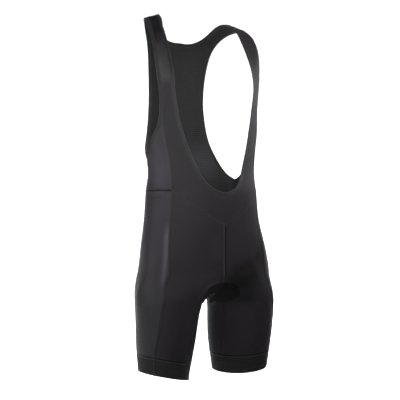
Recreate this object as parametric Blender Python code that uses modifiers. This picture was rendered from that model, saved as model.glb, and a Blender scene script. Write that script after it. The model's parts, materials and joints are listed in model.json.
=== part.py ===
"""Bib liner shorts: a close-fitting one-piece with shoulder straps and short legs.

The garment keeps the hollow form and the pose that it has when it is worn. It faces -Y, its left side is
at +X, and the origin lies level with the tops of its shoulder straps, on the middle plane.

Every piece of cloth is cut from one surface. A place on that surface is a pair (around, height):
around is an angle in degrees, 0 at the front, 90 at the side, 180 at the back and -90 on the inner leg;
height is the level in metres, which above SPRING runs on over the shoulder as a length of cloth.
"""
from math import cos, pi, radians, sin, tan

import bmesh
import bpy
from mathutils import Vector

NAME = "bib_liner_shorts"
RIGHT, LEFT = -1, 1

# Cloth, in metres
WALL = 0.0012            # thickness of a panel
BAND_WALL = 0.0016       # thickness of a leg band
BINDING_WALL = 0.0020    # thickness of the folded binding
BINDING = 0.007          # width of the binding
SEAM = 0.0003            # gap between two pieces at a seam
BEND_SEAM = 0.0006       # gap in the middle of the wall where a seam lies over the shoulder's bend
TIP_GAP = 0.0008         # how far below the corner between the legs' seams the gusset's tips stop
ON_MIDDLE = 0.0001       # a point this near to the middle plane lies on it
CREASE_REACH = 8.0       # degrees over which the lean of a wall at the middle plane is taken

# Levels, in metres below the strap tops
SPRING = -0.200          # the cloth starts to turn over the shoulder
RIDGE = 0.040            # length coordinate of the shoulder's ridge
STRAP_SEAM = 0.030       # front strap to back strap
WAIST = -0.417           # waist seam
LEVEL_ROWS = -0.560      # rows of cloth are level from here down
CROTCH = -0.656          # lowest point of the crotch
BAND = 0.041             # height of a leg band

# Hems: middle height, rise on the outside and fall on the inside, degrees that the rise is turned back
HEMS = {RIGHT: (-0.8545, 0.0133, 20.0), LEFT: (-0.8465, 0.0075, 0.0)}

# Horizontal sections of the right or left half. inner is where the half's loop would reach on the
# middle side: the trunk's loops are whole ellipses, and the legs' loops stop short of the middle plane.
SECTIONS = [
    # height, inner,  outer,  front,  back,   middle, turn, flat_back
    (-0.200, -0.158,  0.158,  -0.111, 0.093,  -0.029, 0.0,  0.50),
    (-0.260, -0.154,  0.154,  -0.108, 0.0925, -0.033, 0.0,  0.44),
    (-0.320, -0.1465, 0.1465, -0.113, 0.091,  -0.033, 0.0,  0.29),
    (-0.370, -0.1400, 0.1400, -0.118, 0.068,  -0.035, 0.0,  0.00),
    (-0.420, -0.145,  0.145,  -0.129, 0.067,  -0.032, 0.0,  0.00),
    (-0.480, -0.150,  0.150,  -0.129, 0.075,  -0.037, 0.0,  0.00),
    (-0.520, -0.157,  0.157,  -0.129, 0.083,  -0.046, 0.0,  0.00),
    (-0.540, -0.161,  0.161,  -0.129, 0.087,  -0.052, 0.0,  0.00),
    (-0.600, -0.130,  0.171,  -0.129, 0.094,  -0.068, 3.0,  0.00),
    (-0.634, -0.042,  0.179,  -0.129, 0.076,  -0.062, 8.0,  0.00),
    (-0.656, 0.0015,  0.183,  -0.129, 0.060,  -0.057, 12.0, 0.00),
    (-0.664, 0.0125,  0.183,  -0.129, 0.054,  -0.055, 13.0, 0.00),
    (-0.684, 0.027,   0.182,  -0.128, 0.044,  -0.053, 15.0, 0.00),
    (-0.720, 0.029,   0.175,  -0.128, 0.043,  -0.046, 16.0, 0.00),
    (-0.780, 0.031,   0.167,  -0.122, 0.042,  -0.041, 15.0, 0.00),
    (-0.849, 0.038,   0.156,  -0.112, 0.033,  -0.039, 12.0, 0.00),
]

# The shoulder's ridge, seen from the front
RIDGE_LINE = [
    # out,   height
    (0.000,  0.030),
    (0.060,  0.014),
    (0.100,  0.004),
    (0.120,  -0.004),
    (0.140,  -0.013),
    (0.190,  -0.035),
]
FALL = [
    # around, how round the cloth falls from the ridge: full where low, sloping where high
    (40.0,   1.6),
    (70.0,   0.6),
    (110.0,  0.6),
    (180.0,  0.6),
]

# How the straps settle on the shoulders. A place is so far along them: 0 at SPRING in front, then up to
# the ridge and down to SPRING behind. Each edge moves out, away from the middle, and ahead, to the front.
SETTLING = [
    # along, neck_out, neck_ahead, arm_out, arm_ahead
    (0.000,  0.0,      0.0,        0.0,     0.0),
    (0.020,  0.0,      0.0025,     0.0016,  0.0022),
    (0.040,  0.0,      0.0038,     0.0029,  0.0050),
    (0.070,  0.0,      0.0025,     0.0034,  0.0080),
    (0.095,  0.0,      -0.0005,    0.0022,  0.0056),
    (0.125,  -0.0005,  -0.0040,    0.0002,  0.0006),
    (0.170,  -0.0015,  -0.0060,    0.0005,  0.0006),
    (0.205,  -0.0010,  -0.0040,    0.0030,  0.0050),
    (0.240,  0.0,      0.0,        0.0058,  0.0094),
    (0.290,  0.0005,   0.0090,     0.0064,  0.0088),
    (0.330,  0.0,      0.0180,     0.0061,  0.0060),
    (0.365,  0.0,      0.0170,     0.0050,  0.0027),
    (0.390,  0.0,      0.0050,     0.0030,  0.0006),
    (0.410,  0.0,      0.0,        0.0015,  0.0),
    (0.480,  0.0,      0.0,        0.0,     0.0),
]

# Seams and openings of the left half, as (around, height) along each
NECK_FRONT = [
    (0.0, -0.4235), (8.0, -0.4185), (14.5, -0.409), (19.5, -0.396), (24.2, -0.379), (27.7, -0.359),
    (31.9, -0.330), (35.5, -0.300), (39.3, -0.260), (43.4, -0.200), (45.1, -0.158), (45.3, -0.110),
    (44.8, -0.062), (43.8, -0.003), (41.4, STRAP_SEAM),
]
NECK_BACK = [
    (180.0, -0.121), (170.0, -0.117), (161.3, -0.106), (155.7, -0.088), (150.2, -0.053),
    (146.1, -0.020), (142.4, 0.010), (139.1, RIDGE), (138.6, 2 * RIDGE - STRAP_SEAM),
]
ARM_FRONT = [
    (62.6, -0.240), (61.3, -0.210), (62.2, -0.188), (64.0, -0.173), (66.0, -0.156), (67.5, -0.140),
    (69.8, -0.121), (71.5, -0.103), (71.5, -0.077), (69.5, -0.040), (65.5, 0.004), (63.0, STRAP_SEAM),
]
ARM_UNDER = [
    (62.6, -0.240), (64.9, -0.262), (73.4, -0.284), (84.0, -0.305), (94.0, -0.327), (101.0, -0.350),
    (107.0, -0.372), (113.0, -0.383), (119.0, -0.383), (126.0, -0.372),
]
ARM_BACK = [
    (126.0, -0.372), (131.5, -0.353), (135.8, -0.320), (139.9, -0.300), (143.2, -0.280),
    (145.6, -0.260), (147.9, -0.230), (149.4, -0.200), (149.5, -0.180), (148.6, -0.163),
    (147.1, -0.144), (144.7, -0.123), (141.9, -0.105), (136.5, -0.078), (132.0, -0.055),
    (124.5, -0.017), (118.0, RIDGE), (117.0, 2 * RIDGE - STRAP_SEAM),
]
V_SEAM = [
    # around, height of the front bib's lower edge
    (0.0,  -0.497),
    (10.0, -0.488),
    (20.0, -0.470),
    (30.0, -0.453),
    (42.0, -0.436),
    (54.0, WAIST),
]
SIDE_SEAMS = [
    # height, front, back
    (-0.850, 43.0, 130.0),
    (-0.800, 39.0, 128.0),
    (-0.768, 34.5, 126.0),
    (-0.732, 29.5, 125.0),
    (-0.700, 25.5, 125.0),
    (-0.672, 25.0, 125.5),
    (-0.650, 32.0, 126.0),
    (-0.632, 39.5, 127.0),
    (-0.588, 49.0, 128.0),
    (-0.532, 53.5, 128.0),
    (-0.465, 53.5, 127.0),
    (WAIST,  54.0, 126.0),
]
GUSSET = [
    # height, around at the gusset's front edge; its back edge mirrors this
    (-0.684, -90.0),
    (-0.674, -63.0),
    (-0.664, -48.0),
    (-0.654, -37.0),
    (-0.644, -28.0),
    (-0.636, -25.0),
    (-0.630, -40.0),
]
LEVELS = (
    -0.417, -0.443, -0.469, -0.495, -0.520, -0.542, -0.560, -0.582, -0.600, -0.616, -0.630, -0.636,
    -0.644, -0.654, -0.664, -0.674, -0.684, -0.704, -0.730, -0.756, -0.780,
)

# The pose: the right leg trails and the left leg leads
SWING = {RIGHT: 8.0, LEFT: -2.5}      # degrees
SWING_START = 0.020      # length over which a leg bends away from the hip

# The fold between the legs
FOLD = 0.014             # half its width
FOLD_SLOPE = 0.8         # steepest side of the crease that it fills


def read(table, key, column):
    """Smooth curve through a table's column, read at key; the table is sorted by its first column."""
    rows = sorted(table)
    if key <= rows[0][0]:
        return rows[0][column]
    if key >= rows[-1][0]:
        return rows[-1][column]
    i = max(n for n in range(len(rows) - 1) if rows[n][0] <= key)

    def slope(n):
        low, high = max(n - 1, 0), min(n + 1, len(rows) - 1)
        return (rows[high][column] - rows[low][column]) / (rows[high][0] - rows[low][0])

    step = rows[i + 1][0] - rows[i][0]
    u = (key - rows[i][0]) / step
    start, end = rows[i][column], rows[i + 1][column]
    return ((2 * u**3 - 3 * u**2 + 1) * start + (u**3 - 2 * u**2 + u) * step * slope(i)
            + (3 * u**2 - 2 * u**3) * end + (u**3 - u**2) * step * slope(i + 1))


def loop_point(around, height):
    """Point (x, y) of the left half's loop at a level, before the pose."""
    inner, outer, front, back, middle, turn, flat_back = (read(SECTIONS, height, n) for n in range(1, 8))
    angle = radians(around)
    across = (outer - inner) / 2 * sin(angle)
    along = (front - middle) * cos(angle)
    if cos(angle) < 0:
        along = (middle - back) * ((1 + flat_back) * cos(angle) - flat_back * cos(angle) ** 3)
    c, s = cos(radians(turn)), sin(radians(turn))
    return (inner + outer) / 2 + across * c - along * s, middle + across * s + along * c


def middle_angle(height, end):
    """Angle at which the loop meets the middle plane, at its front (end 0) or its back (end 1)."""
    if height <= CROTCH:
        return (-90.0, 270.0)[end]
    inside, outside = ((-90.0, 90.0), (270.0, 90.0))[end]
    for _ in range(40):
        angle = (inside + outside) / 2
        if loop_point(angle, height)[0] < 0:
            inside = angle
        else:
            outside = angle
    return outside


def over_shoulder(around, height):
    """Left half's point above SPRING: the loop there, carried up and drawn in to the ridge."""
    if height > RIDGE:
        around, height = 180 - around, 2 * RIDGE - height
    out, along = loop_point(around, SPRING)
    part = (height - SPRING) / (RIDGE - SPRING)
    fall = read(FALL, around, 1)
    angle = pi / 2 * (1 - (1 - part) ** (1 / fall))
    rise = read(RIDGE_LINE, abs(out), 1) - SPRING
    return Vector((out, along * max(cos(angle), 0) ** fall, SPRING + rise * sin(angle)))


def edge_at(edge, height):
    """Angle at which an edge of the strap, a list of (around, height), passes a height."""
    return read([(level, angle) for angle, level in edge], height, 1)


def settled(around, height):
    """The point over the shoulder, moved as the strap settles there."""
    point = over_shoulder(around, height)
    along = height - SPRING
    neck, arm = edge_at(NECK_FRONT, height), edge_at(ARM_FRONT, height)
    if around > 90:
        along = 2 * (RIDGE - SPRING) - along
        neck, arm = edge_at(NECK_BACK, height), edge_at(ARM_BACK, height)
    share = min(max((around - neck) / (arm - neck), 0), 1)
    neck_out, neck_ahead, arm_out, arm_ahead = (read(SETTLING, along, n) for n in range(1, 5))
    point.x += neck_out + (arm_out - neck_out) * share
    point.y -= neck_ahead + (arm_ahead - neck_ahead) * share
    return point


def half_point(around, height):
    """Point of the left half's loops, which meet in a crease on the middle plane above the crotch."""
    if height > SPRING:
        return settled(around, height)
    return Vector((*loop_point(around, height), height))


def rounded(around, height):
    """The half's point with the crease between the legs filled to a round fold."""
    point = half_point(around, height)
    near = max(1 - max(point.x, 0) / FOLD, 0)
    if height > LEVEL_ROWS or near == 0:
        return point
    across = half_point(around + 0.5, height) - half_point(around - 0.5, height)
    up = half_point(around, height + 0.0005) - half_point(around, height - 0.0005)
    out = across.cross(up).normalized()
    level = Vector((0, out.y, out.z))
    slope = min(max(-out.x, 0) / max(level.length, 0.01), FOLD_SLOPE)
    return point + level.normalized() * slope * FOLD / 2 * near**2


def place(around, height, side=LEFT):
    """Point of the worn surface, in metres."""
    point = rounded(around, height)
    drop = max(CROTCH - height, 0)
    point.y += tan(radians(SWING[side])) * drop**2 / (drop + SWING_START)
    point.x *= side
    return point


# ---- Paths and grids of (around, height) ----


def slopes(around, height):
    """Metres moved for a degree around and for a metre of height, as two vectors of the left half."""
    step, rise = 0.5, 0.0005
    across = (place(around + step, height) - place(around - step, height)) / (2 * step)
    up = (place(around, height + rise) - place(around, height - rise)) / (2 * rise)
    return across, up


def move(spot, direction):
    """Spot moved over the surface by a vector in metres."""
    across, up = slopes(*spot)
    aa, au, uu = across.dot(across), across.dot(up), up.dot(up)
    da, du = direction.dot(across), direction.dot(up)
    area = aa * uu - au**2
    return spot[0] + (da * uu - du * au) / area, spot[1] + (du * aa - da * au) / area


def sideways(path, distance, closed=False):
    """For each spot of a path, the vector to its right, seen from outside, that moves both its stretches.

    A path that ends on the middle plane ends squarely to it or in it, because the other half mirrors it.
    """
    points = [place(*spot) for spot in path]
    vectors = []
    for i, spot in enumerate(path):
        across, up = slopes(*spot)
        out = across.cross(up)
        rights = []
        for one, two in ((i - 1, i), (i, i + 1)):
            if closed or (one >= 0 and two < len(path)):
                run = points[two % len(path)] - points[one]
                if i in (0, len(path) - 1) and not closed and abs(points[i].x) < ON_MIDDLE:
                    run = Vector((run.x, 0, 0)) if abs(run.x) > run.length / 2 else Vector((0, run.y, run.z))
                rights.append(run.cross(out).normalized())
        both = rights[0] + rights[-1]
        vectors.append(both * (distance / (1 + rights[0].dot(rights[-1]))))
    return vectors


def shift(path, distance, closed=False):
    """The path moved to its right over the surface."""
    return [move(spot, vector) for spot, vector in zip(path, sideways(path, distance, closed))]


def through(spots, counts):
    """Smooth path through spots. counts gives, for each stretch, (its last spot's index, its steps)."""
    fine = 8
    dense, marks = [spots[0]], [0]
    for i in range(len(spots) - 1):
        before, start = spots[max(i - 1, 0)], spots[i]
        end, after = spots[i + 1], spots[min(i + 2, len(spots) - 1)]
        for n in range(1, fine + 1):
            u = n / fine
            dense.append(tuple(
                0.5 * (2 * s + (e - b) * u + (2 * b - 5 * s + 4 * e - a) * u**2
                       + (3 * s - b - 3 * e + a) * u**3)
                for b, s, e, a in zip(before, start, end, after)))
        marks.append(len(dense) - 1)
    points = [place(*spot) for spot in dense]
    lengths = [0.0]
    for one, two in zip(points, points[1:]):
        lengths.append(lengths[-1] + (two - one).length)
    path, first = [dense[0]], 0
    for last, steps in counts:
        low, high = lengths[marks[first]], lengths[marks[last]]
        for n in range(1, steps + 1):
            goal = low + (high - low) * n / steps
            i = min(max(k for k in range(len(lengths)) if lengths[k] <= goal + 1e-9), len(dense) - 2)
            u = (goal - lengths[i]) / (lengths[i + 1] - lengths[i])
            path.append(tuple(p + (q - p) * u for p, q in zip(dense[i], dense[i + 1])))
        first = last
    return path


def between(one, two, part):
    return tuple(p + (q - p) * part for p, q in zip(one, two))


def fill(starts, ends, columns):
    """Grid whose rows run straight from starts to ends."""
    return [[between(one, two, n / columns) for n in range(columns + 1)] for one, two in zip(starts, ends)]


def crease_gap(around, height, sign):
    """How far a wall leans over the middle plane where the halves meet at an angle."""
    edge, inside = place(around, height), place(around + sign * CREASE_REACH, height)
    level = inside - edge
    out = level.cross(Vector((0, 0, sign))).normalized()
    return abs(out.x) * WALL / 2


def trimmed(grid, sides, high_seam=SEAM):
    """The grid drawn in by half a seam gap on the named sides, out of first, last, low and high."""
    gap = SEAM / 2
    pushes = [[Vector((0, 0, 0)) for _ in row] for row in grid]
    for side, column, sign in (("first", 0, 1), ("last", -1, -1)):
        if side in sides:
            path = [row[column] for row in grid]
            for line, push, spot in zip(pushes, sideways(path, sign * gap), path):
                line[column] += push
                if abs(place(*spot).x) < ON_MIDDLE:
                    line[column] += Vector((crease_gap(*spot, sign), 0, 0))
    if "low" in sides:
        for n, push in enumerate(sideways(grid[0], -gap)):
            pushes[0][n] += push
    if "high" in sides:
        for n, push in enumerate(sideways(grid[-1], high_seam / 2)):
            pushes[-1][n] += push
    return [[move(spot, push) if push.length else spot for spot, push in zip(row, line)]
            for row, line in zip(grid, pushes)]


# ---- The seams and openings, each with the stations that the pieces on both sides share ----

V_STEPS, SEAM_STEPS, STRAP_STEPS = 8, 4, 10       # along the front bib's outer edge
UNDER_STEPS, BACK_STEPS = 8, 8                    # across the side panels and across half of the back
BLADE_STEPS, TOP_STEPS = 7, 11                    # up the back: shoulder blade and strap
BIB_COLUMNS, LEG_COLUMNS, GUSSET_COLUMNS = 5, 8, 3


def v_height(around):
    return read(V_SEAM, around, 1)


def side_seam(height, back):
    return read(SIDE_SEAMS, height, 1 + back)


def neck_front():
    return through(NECK_FRONT, [(4, V_STEPS), (8, SEAM_STEPS), (len(NECK_FRONT) - 1, STRAP_STEPS)])


def neck_back():
    return through(NECK_BACK, [(len(NECK_BACK) - 1, TOP_STEPS)])


def arm_front():
    return through(ARM_FRONT, [(len(ARM_FRONT) - 1, STRAP_STEPS)])


def arm_under():
    return through(ARM_UNDER, [(len(ARM_UNDER) - 1, UNDER_STEPS)])


def arm_back():
    return through(ARM_BACK, [(7, BLADE_STEPS), (len(ARM_BACK) - 1, TOP_STEPS)])


def armhole():
    """Once round the armhole: down the front, under the arm and up the back to the strap seam."""
    return arm_front()[::-1] + arm_under()[1:] + arm_back()[1:-1]


def armhole_edge():
    """The same path where the binding meets the panels, cut into its front, lower and back stretches."""
    edge = shift(armhole(), BINDING, closed=True)
    low, back = STRAP_STEPS, STRAP_STEPS + UNDER_STEPS
    return edge[:low + 1][::-1], edge[low:back + 1], edge[back:] + [shift(arm_back(), BINDING)[-1]]


def straight(start, end, steps):
    return [between(start, end, n / steps) for n in range(steps + 1)]


# ---- Grids of the pieces of the left half: rows run up the body and columns run round it to the back ----


def front_bib_grid():
    """Rows stand on the neckline and fan out to the lower edge, the side seam and the armhole."""
    strap_edge = armhole_edge()[0]
    corner = (side_seam(WAIST, 0), WAIST)
    lower = [(corner[0] * n / V_STEPS, v_height(corner[0] * n / V_STEPS)) for n in range(V_STEPS + 1)]
    outer = lower + straight(corner, strap_edge[0], SEAM_STEPS)[1:] + strap_edge[1:]
    grid = fill(shift(neck_front(), BINDING), outer, BIB_COLUMNS)
    return trimmed(grid, ("first", "last", "high"), BEND_SEAM)


def back_mesh_grid():
    blade = armhole_edge()[2]
    side = straight((side_seam(WAIST, 1), WAIST), blade[0], SEAM_STEPS)
    neck = shift(neck_back(), -BINDING - SEAM / 2)
    centre = straight((180.0, WAIST), neck[0], SEAM_STEPS + BLADE_STEPS)
    grid = fill(side + blade[1:], centre + neck[1:], BACK_STEPS)
    return trimmed(grid, ("first", "low", "high"), BEND_SEAM)


def side_bib_grid():
    """The lowest row is the waist seam and the highest is the armhole's lower edge."""
    under = armhole_edge()[1]
    columns = []
    for n, top in enumerate(under):
        around = side_seam(WAIST, 0) + (side_seam(WAIST, 1) - side_seam(WAIST, 0)) * n / UNDER_STEPS
        columns.append(straight((around, WAIST), top, SEAM_STEPS))
    return trimmed([list(row) for row in zip(*columns)], ("first", "last", "low", "high"))


def hem(around, side):
    height, rise, turned = HEMS[side]
    return height + rise * sin(radians(around + turned))


def level_row(level, top, start, end, columns):
    """A row across a leg panel: level from LEVEL_ROWS down, and above that bent to the panel's top edge."""
    row = []
    for n in range(columns + 1):
        around = start + (end - start) * n / columns
        height = level
        if level > LEVEL_ROWS:
            height = LEVEL_ROWS + (level - LEVEL_ROWS) * (top(around) - LEVEL_ROWS) / (WAIST - LEVEL_ROWS)
        row.append((around, height))
    return row


def gusset_angle(height):
    """Where the front edge of the gusset, or above it the centre front seam, lies."""
    middle = middle_angle(height, 0)
    if GUSSET[0][0] <= height <= GUSSET[-1][0]:
        return max(middle, read(GUSSET, height, 1))
    return middle


def back_angle(height):
    """Where the back edge of the gusset, or above it the centre back seam, lies."""
    middle = middle_angle(height, 1)
    if GUSSET[0][0] <= height <= GUSSET[-1][0]:
        return min(middle, 180 - read(GUSSET, height, 1))
    return middle


def band_row(start, end, columns, side):
    """Angles across a leg panel at its seam to the band."""
    seam = HEMS[side][0] + BAND
    return [start(seam) + (end(seam) - start(seam)) * n / columns for n in range(columns + 1)]


def leg_grid(start, end, top, columns, side):
    """start and end give the panel's two edges at a height; top gives its upper edge."""
    rows = [[(around, hem(around, side) + BAND) for around in band_row(start, end, columns, side)]]
    for level in reversed(LEVELS):
        low_start = level_row(level, top, start(level), end(level), columns)[0][1]
        rows.append(level_row(level, top, start(low_start), end(level), columns))
    return trimmed(rows, ("first", "last", "low", "high"))


def front_seam(height):
    return side_seam(height, 0)


def back_seam(height):
    return side_seam(height, 1)


def waist(around):
    return WAIST


def front_leg_grid(side):
    return leg_grid(gusset_angle, front_seam, v_height, LEG_COLUMNS, side)


def side_leg_grid(side):
    return leg_grid(front_seam, back_seam, waist, UNDER_STEPS, side)


def back_leg_grid(side):
    return leg_grid(back_seam, back_angle, waist, BACK_STEPS, side)


def gusset_grid():
    """Half of the gusset, from its edge on the leg to the crotch line, in rows from front to back."""
    levels = [level for level in LEVELS if GUSSET[0][0] <= level <= GUSSET[-1][0]]
    top, steps = levels[0] - TIP_GAP, len(levels) - 1
    levels[0] = top
    edges, middles = [], []
    for n, level in enumerate(levels):
        line = CROTCH + (top - CROTCH) * (1 - n / steps) ** 2
        edges.append((level, gusset_angle(level), back_angle(level)))
        middles.append((line, middle_angle(line, 0), middle_angle(line, 1)))
    starts = [(front, level) for level, front, _ in edges] + [(back, level) for level, _, back in edges[-2::-1]]
    ends = [(front, line) for line, front, _ in middles] + [(back, line) for line, _, back in middles[-2::-1]]
    return trimmed(fill(starts, ends, GUSSET_COLUMNS), ("first",))


def band_grid(side):
    """Rows from the hem to the seam, on the stations of the leg panels; the last column meets the first."""
    turns = band_row(gusset_angle, front_seam, LEG_COLUMNS, side)
    turns += band_row(front_seam, back_seam, UNDER_STEPS, side)[1:]
    turns += band_row(back_seam, back_angle, BACK_STEPS, side)[1:]
    rows = [[(around, hem(around, side) + BAND * part) for around in turns] for part in (0, 0.5, 1)]
    return trimmed(rows, ("high",))


def binding_grid(path, closed):
    return [list(pair) for pair in zip(path, shift(path, BINDING - SEAM / 2, closed))]


# ==== MESHES ====


def fabric(name, colour, roughness):
    material = bpy.data.materials.new(name)
    material.use_nodes = True
    shader = material.node_tree.nodes["Principled BSDF"]
    shader.inputs["Base Color"].default_value = (*colour, 1.0)
    shader.inputs["Roughness"].default_value = roughness
    shader.inputs["Metallic"].default_value = 0.0
    return material


def piece(name, parts, wall, material, mirror=False, ring=False, joined=False):
    """One piece of cloth from grids of spots, each with its side; walls are shared out on both faces.

    The last column of joined halves lies on the middle plane.
    """
    shape = bmesh.new()
    for grid, side in parts:
        rows = [[shape.verts.new(place(*spot, side)) for spot in row] for row in grid]
        if joined:
            for row in rows:
                row[-1].co.x = 0
        if ring:
            rows.append(rows[0])
        for low, high in zip(rows, rows[1:]):
            for n in range(len(low) - 1):
                corners = (low[n], low[n + 1], high[n + 1], high[n])
                shape.faces.new(corners if side == LEFT else corners[::-1])
    bmesh.ops.remove_doubles(shape, verts=shape.verts, dist=0.00005)
    mesh = bpy.data.meshes.new(name)
    shape.to_mesh(mesh)
    shape.free()
    mesh.shade_smooth()
    cloth = bpy.data.objects.new(name, mesh)
    bpy.data.collections[NAME].objects.link(cloth)
    mesh.materials.append(material)
    if mirror:
        half = cloth.modifiers.new("Other half", "MIRROR")
        half.merge_threshold = 0.0001
        half.use_mirror_merge = True
    thickness = cloth.modifiers.new("Wall", "SOLIDIFY")
    thickness.thickness = wall
    thickness.offset = 0.0
    thickness.use_even_offset = True
    return cloth


def build():
    for old in list(bpy.data.objects):
        bpy.data.objects.remove(old, do_unlink=True)
    collection = bpy.data.collections.new(NAME)
    bpy.context.scene.collection.children.link(collection)

    knit = fabric("warp_knit_nylon_elastane", (0.030, 0.028, 0.031), 0.62)
    side_knit = fabric("smooth_side_knit", (0.042, 0.039, 0.045), 0.55)
    mesh_knit = fabric("fine_mesh_knit", (0.026, 0.027, 0.026), 0.80)
    gusset_knit = fabric("brushed_gusset_knit", (0.020, 0.019, 0.021), 0.75)
    rib = fabric("ribbed_elastic_band", (0.026, 0.025, 0.028), 0.70)
    tape = fabric("folded_elastic_binding", (0.036, 0.034, 0.037), 0.60)

    piece("front_bib", [(front_bib_grid(), LEFT)], WALL, knit, mirror=True)
    piece("back_mesh", [(back_mesh_grid(), LEFT)], WALL, mesh_knit, mirror=True)
    piece("crotch_gusset", [(gusset_grid(), RIGHT), (gusset_grid(), LEFT)], WALL, gusset_knit, joined=True)
    half_neck = neck_front() + neck_back()[-2::-1]
    piece("neck_binding", [(binding_grid(half_neck, False), LEFT)], BINDING_WALL, tape, mirror=True)
    for side, word in ((RIGHT, "right"), (LEFT, "left")):
        piece(f"side_bib_{word}", [(side_bib_grid(), side)], WALL, side_knit)
        piece(f"front_leg_{word}", [(front_leg_grid(side), side)], WALL, knit)
        piece(f"side_leg_{word}", [(side_leg_grid(side), side)], WALL, side_knit)
        piece(f"back_leg_{word}", [(back_leg_grid(side), side)], WALL, knit)
        piece(f"leg_band_{word}", [(band_grid(side), side)], BAND_WALL, rib)
        binding = binding_grid(armhole(), True)
        piece(f"armhole_binding_{word}", [(binding, side)], BINDING_WALL, tape, ring=True)


build()
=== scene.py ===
"""Finished cloth of the bib liner shorts: panels with soft creases, bindings, bands, seams and stitches."""

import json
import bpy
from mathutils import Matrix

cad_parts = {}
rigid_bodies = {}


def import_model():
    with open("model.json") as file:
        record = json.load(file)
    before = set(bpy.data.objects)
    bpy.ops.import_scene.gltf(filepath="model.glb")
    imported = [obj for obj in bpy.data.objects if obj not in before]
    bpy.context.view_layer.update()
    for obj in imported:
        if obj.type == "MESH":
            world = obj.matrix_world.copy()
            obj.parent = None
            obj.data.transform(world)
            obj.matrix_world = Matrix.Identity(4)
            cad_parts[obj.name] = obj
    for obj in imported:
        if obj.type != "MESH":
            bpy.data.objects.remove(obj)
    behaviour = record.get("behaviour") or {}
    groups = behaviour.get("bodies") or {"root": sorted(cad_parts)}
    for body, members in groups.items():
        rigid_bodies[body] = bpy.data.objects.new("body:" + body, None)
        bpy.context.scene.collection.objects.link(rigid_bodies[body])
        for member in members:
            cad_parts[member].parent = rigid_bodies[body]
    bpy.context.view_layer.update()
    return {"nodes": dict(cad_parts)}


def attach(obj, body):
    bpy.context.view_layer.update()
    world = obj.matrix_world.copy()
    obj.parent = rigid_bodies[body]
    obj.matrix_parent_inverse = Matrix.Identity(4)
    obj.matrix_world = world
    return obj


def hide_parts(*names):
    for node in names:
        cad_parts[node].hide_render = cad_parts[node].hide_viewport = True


bl_info = {
    "name": "Bib liner shorts",
    "version": (1, 0, 0),
    "blender": (4, 5, 0),
    "location": "View3D > Sidebar > Garment",
    "description": "Makes the cloth, seams, bindings and bands of a pair of bib liner shorts",
    "category": "Object",
}

from math import cos, pi, radians, sin

import bmesh
import bpy
import numpy as np
from bpy.props import FloatProperty, FloatVectorProperty, IntProperty, PointerProperty
from mathutils import Vector
from mathutils.bvhtree import BVHTree
from mathutils.kdtree import KDTree
from mathutils.noise import noise

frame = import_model()
BODY = "root"

# The panels, each with the record's slot
PANELS = {
    "front_bib": "warp_knit_nylon_elastane",
    "side_bib_right": "smooth_side_knit",
    "side_bib_left": "smooth_side_knit",
    "back_mesh": "fine_mesh_knit",
    "front_leg_right": "warp_knit_nylon_elastane",
    "front_leg_left": "warp_knit_nylon_elastane",
    "side_leg_right": "smooth_side_knit",
    "side_leg_left": "smooth_side_knit",
    "back_leg_right": "warp_knit_nylon_elastane",
    "back_leg_left": "warp_knit_nylon_elastane",
    "crotch_gusset": "brushed_gusset_knit",
}
# The bindings, each with the panel whose cut it goes with
BINDINGS = {
    "neck_binding": "front_bib",
    "armhole_binding_right": "side_bib_right",
    "armhole_binding_left": "side_bib_left",
}
BANDS = ("leg_band_right", "leg_band_left")
SIDES = ("right", "left")

# Thickness of the solid that each piece of cloth is made on
SOLID_WALL = {
    **dict.fromkeys(PANELS, 0.0012), **dict.fromkeys(BANDS, 0.0016), **dict.fromkeys(BINDINGS, 0.0020)}


def linear(code):
    """Linear red, green and blue of an sRGB hex colour."""
    parts = [int(code[i:i + 2], 16) / 255 for i in (0, 2, 4)]
    return tuple(c / 12.92 if c <= 0.04045 else ((c + 0.055) / 1.055) ** 2.4 for c in parts)


# ---- Settings ----


class ClothSettings(bpy.types.PropertyGroup):
    """Sizes of the panels"""
    panel_wall: FloatProperty(
        name="Panel thickness", description="Thickness of a knit panel", default=0.0011, unit="LENGTH")
    splits: IntProperty(
        name="Splits", description="Times that a panel's faces are split to smooth it", default=3)
    crease_depth: FloatProperty(
        name="Crease depth", description="Share of the creases' full depth", default=1.0, subtype="FACTOR")
    pucker: FloatProperty(
        name="Pucker", description="Height of the small ripples beside a seam", default=0.0005, unit="LENGTH")


class SeamSettings(bpy.types.PropertyGroup):
    """Sizes of the flat seams and of the thread"""
    rise: FloatProperty(
        name="Seam rise", description="Height of a seam over the cloth", default=0.0006, unit="LENGTH")
    stitch: FloatProperty(
        name="Stitch length", description="Length of one stitch", default=0.0030, unit="LENGTH")
    thread: FloatProperty(
        name="Thread thickness", description="Thickness of the thread", default=0.00040, unit="LENGTH")


class EdgeSettings(bpy.types.PropertyGroup):
    """Sizes of the bindings and of the leg bands"""
    binding_wall: FloatProperty(
        name="Binding thickness", description="Thickness of a folded binding", default=0.0021, unit="LENGTH")
    band_wall: FloatProperty(
        name="Band thickness", description="Thickness of a leg band", default=0.0016, unit="LENGTH")
    ribs: IntProperty(name="Band ribs", description="Ribs across the height of a leg band", default=7)
    rib_depth: FloatProperty(
        name="Rib depth", description="Depth of the groove between two ribs", default=0.0006, unit="LENGTH")


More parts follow.
